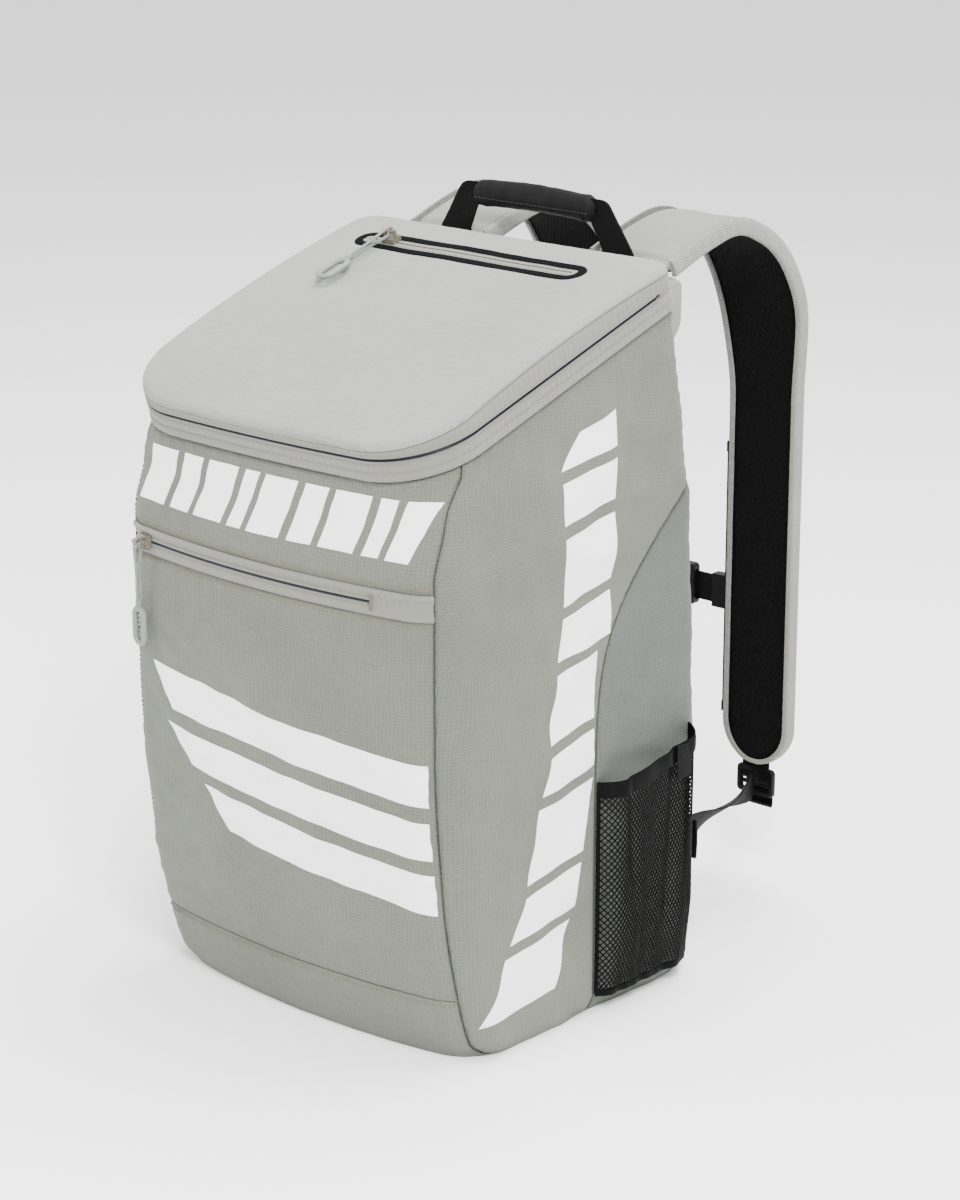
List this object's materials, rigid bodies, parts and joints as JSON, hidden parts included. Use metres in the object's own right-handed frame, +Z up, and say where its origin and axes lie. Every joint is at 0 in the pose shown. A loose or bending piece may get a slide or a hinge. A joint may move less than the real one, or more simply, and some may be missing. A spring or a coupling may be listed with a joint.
{
  "type": "racket backpack",
  "caption": "Padded backpack for rackets with a sloping zipped lid, a flat front pocket, net side pockets, a grab handle and two shoulder straps.",
  "frame": {"origin": "centre of the base panel's underside", "axes": "+Z up, -Y towards the front pocket, +Y towards the wearer's back, +X the side on the right in a front view"},
  "size_m": [0.338, 0.4514, 0.551],
  "materials": {
    "body_fabric": "padded ripstop",
    "lid_fabric": "smooth woven",
    "zip_tape": "herringbone tape",
    "lining": "plain lining",
    "zip_chain": "coil",
    "black_webbing": "ribbed webbing",
    "black_net": "open net",
    "air_mesh": "spacer mesh",
    "strap_fabric": "smooth woven",
    "black_plastic": "moulded",
    "board": "sheet",
    "zip_slider": "satin",
    "pull_cord": "braided",
    "pull_ring": "soft matt"
  },
  "bodies": {
    "bag": {"base_panel": "body_fabric", "base_board": "board", "front_pocket_panel": "body_fabric", "front_pocket_backing": "lining", "front_zip_tape": "zip_tape", "front_zip_chain": "zip_chain", "front_upper_panel": "body_fabric", "right_front_gusset": "body_fabric", "left_front_gusset": "body_fabric", "right_rear_side_panel": "body_fabric", "left_rear_side_panel": "body_fabric", "back_panel": "body_fabric", "frame_sheet": "board", "sleeve_divider": "lining", "back_pads": "air_mesh", "lumbar_pad": "strap_fabric", "back_yoke": "strap_fabric", "mouth_band": "zip_tape", "mouth_zip_chain": "zip_chain", "lid_hinge_strip": "zip_tape", "right_mesh_pocket": "black_net", "left_mesh_pocket": "black_net", "right_pocket_binding": "black_webbing", "left_pocket_binding": "black_webbing", "pocket_tabs": "black_webbing", "sewn_anchors": "black_webbing", "right_lower_webbing": "black_webbing", "left_lower_webbing": "black_webbing"},
    "lid": {"lid_panel": "lid_fabric", "lid_rim_band": "zip_tape", "lid_zip_chain": "zip_chain", "lid_pocket_border": "black_plastic", "lid_pocket_chain": "zip_tape"},
    "handle": {"handle_webbing": "black_webbing", "handle_grip": "black_webbing"},
    "harness": {"right_strap_pad": "strap_fabric", "left_strap_pad": "strap_fabric", "right_strap_mesh": "air_mesh", "left_strap_mesh": "air_mesh", "strap_bindings": "zip_tape", "right_ladder_lock": "black_plastic", "left_ladder_lock": "black_plastic", "webbing_tails": "black_webbing", "sternum_rails": "black_plastic"},
    "sternum_strap": {"sternum_guides": "black_plastic", "sternum_webbing": "black_webbing", "sternum_female_buckle": "black_plastic"},
    "buckle_plug": {"sternum_male_buckle": "black_plastic"},
    "front_slider": {"front_zip_slider": "zip_slider"},
    "front_pull": {"front_pull_cord": "pull_cord", "front_pull_ring": "pull_ring"},
    "lid_slider": {"lid_zip_slider": "zip_slider"},
    "lid_pull": {"lid_pull_cord": "pull_cord", "lid_pull_ring": "pull_ring"},
    "main_slider_a": {"main_zip_slider_a": "zip_slider"},
    "main_pull_a": {"main_pull_cord_a": "pull_cord", "main_pull_ring_a": "pull_ring"},
    "main_slider_b": {"main_zip_slider_b": "zip_slider"},
    "main_pull_b": {"main_pull_cord_b": "pull_cord", "main_pull_ring_b": "pull_ring"}
  },
  "joints": [
    {"name": "lid_hinge", "type": "hinge", "parent": "bag", "child": "lid", "pos_m": [0, 0.10296, 0.50548], "axis": [-1, 0, 0], "range_deg": [0, 85]},
    {"name": "handle_swing", "type": "hinge", "parent": "bag", "child": "handle", "pos_m": [0, 0.12, 0.5135], "axis": [-1, 0, 0], "range_deg": [-10, 45]},
    {"name": "harness_swing", "type": "hinge", "parent": "bag", "child": "harness", "pos_m": [0, 0.124, 0.501], "axis": [1, 0, 0], "range_deg": [-5, 8], "deforming": ["right_lower_webbing", "left_lower_webbing"]},
    {"name": "sternum_height", "type": "slide", "parent": "harness", "child": "sternum_strap", "axis": [0, 0, 1], "range_m": [-0.06, 0.08]},
    {"name": "buckle_release", "type": "slide", "parent": "sternum_strap", "child": "buckle_plug", "axis": [1, 0, 0], "range_m": [0, 0.017]},
    {"name": "front_zip_run", "type": "hinge", "parent": "bag", "child": "front_slider", "pos_m": [0, 0.51026, 0.327], "axis": [0, 0, 1], "range_deg": [0, 17.5]},
    {"name": "front_pull_swing", "type": "hinge", "parent": "front_slider", "child": "front_pull", "pos_m": [-0.11843, -0.15778, 0.327], "axis": [-0.9846, 0.1746, 0], "range_deg": [0, 150]},
    {"name": "lid_zip_run", "type": "slide", "parent": "lid", "child": "lid_slider", "axis": [1, 0, 0], "range_m": [0, 0.16]},
    {"name": "lid_pull_swing", "type": "hinge", "parent": "lid_slider", "child": "lid_pull", "pos_m": [-0.08, 0.05489, 0.51752], "axis": [-1, 0, 0], "range_deg": [0, 90]},
    {"name": "main_zip_run_a", "type": "slide", "parent": "bag", "child": "main_slider_a", "axis": [0, 0.9511, 0.309], "range_m": [-0.095, 0]},
    {"name": "main_pull_swing_a", "type": "hinge", "parent": "main_slider_a", "child": "main_pull_a", "pos_m": [-0.1528, 0.00069, 0.46426], "axis": [0, 1, 0], "range_deg": [0, 120]},
    {"name": "main_zip_run_b", "type": "slide", "parent": "bag", "child": "main_slider_b", "axis": [0, 0.9511, 0.309], "range_m": [0, 0.05]},
    {"name": "main_pull_swing_b", "type": "hinge", "parent": "main_slider_b", "child": "main_pull_b", "pos_m": [-0.1528, 0.02542, 0.4723], "axis": [0, 1, 0], "range_deg": [0, 120]}
  ]
}
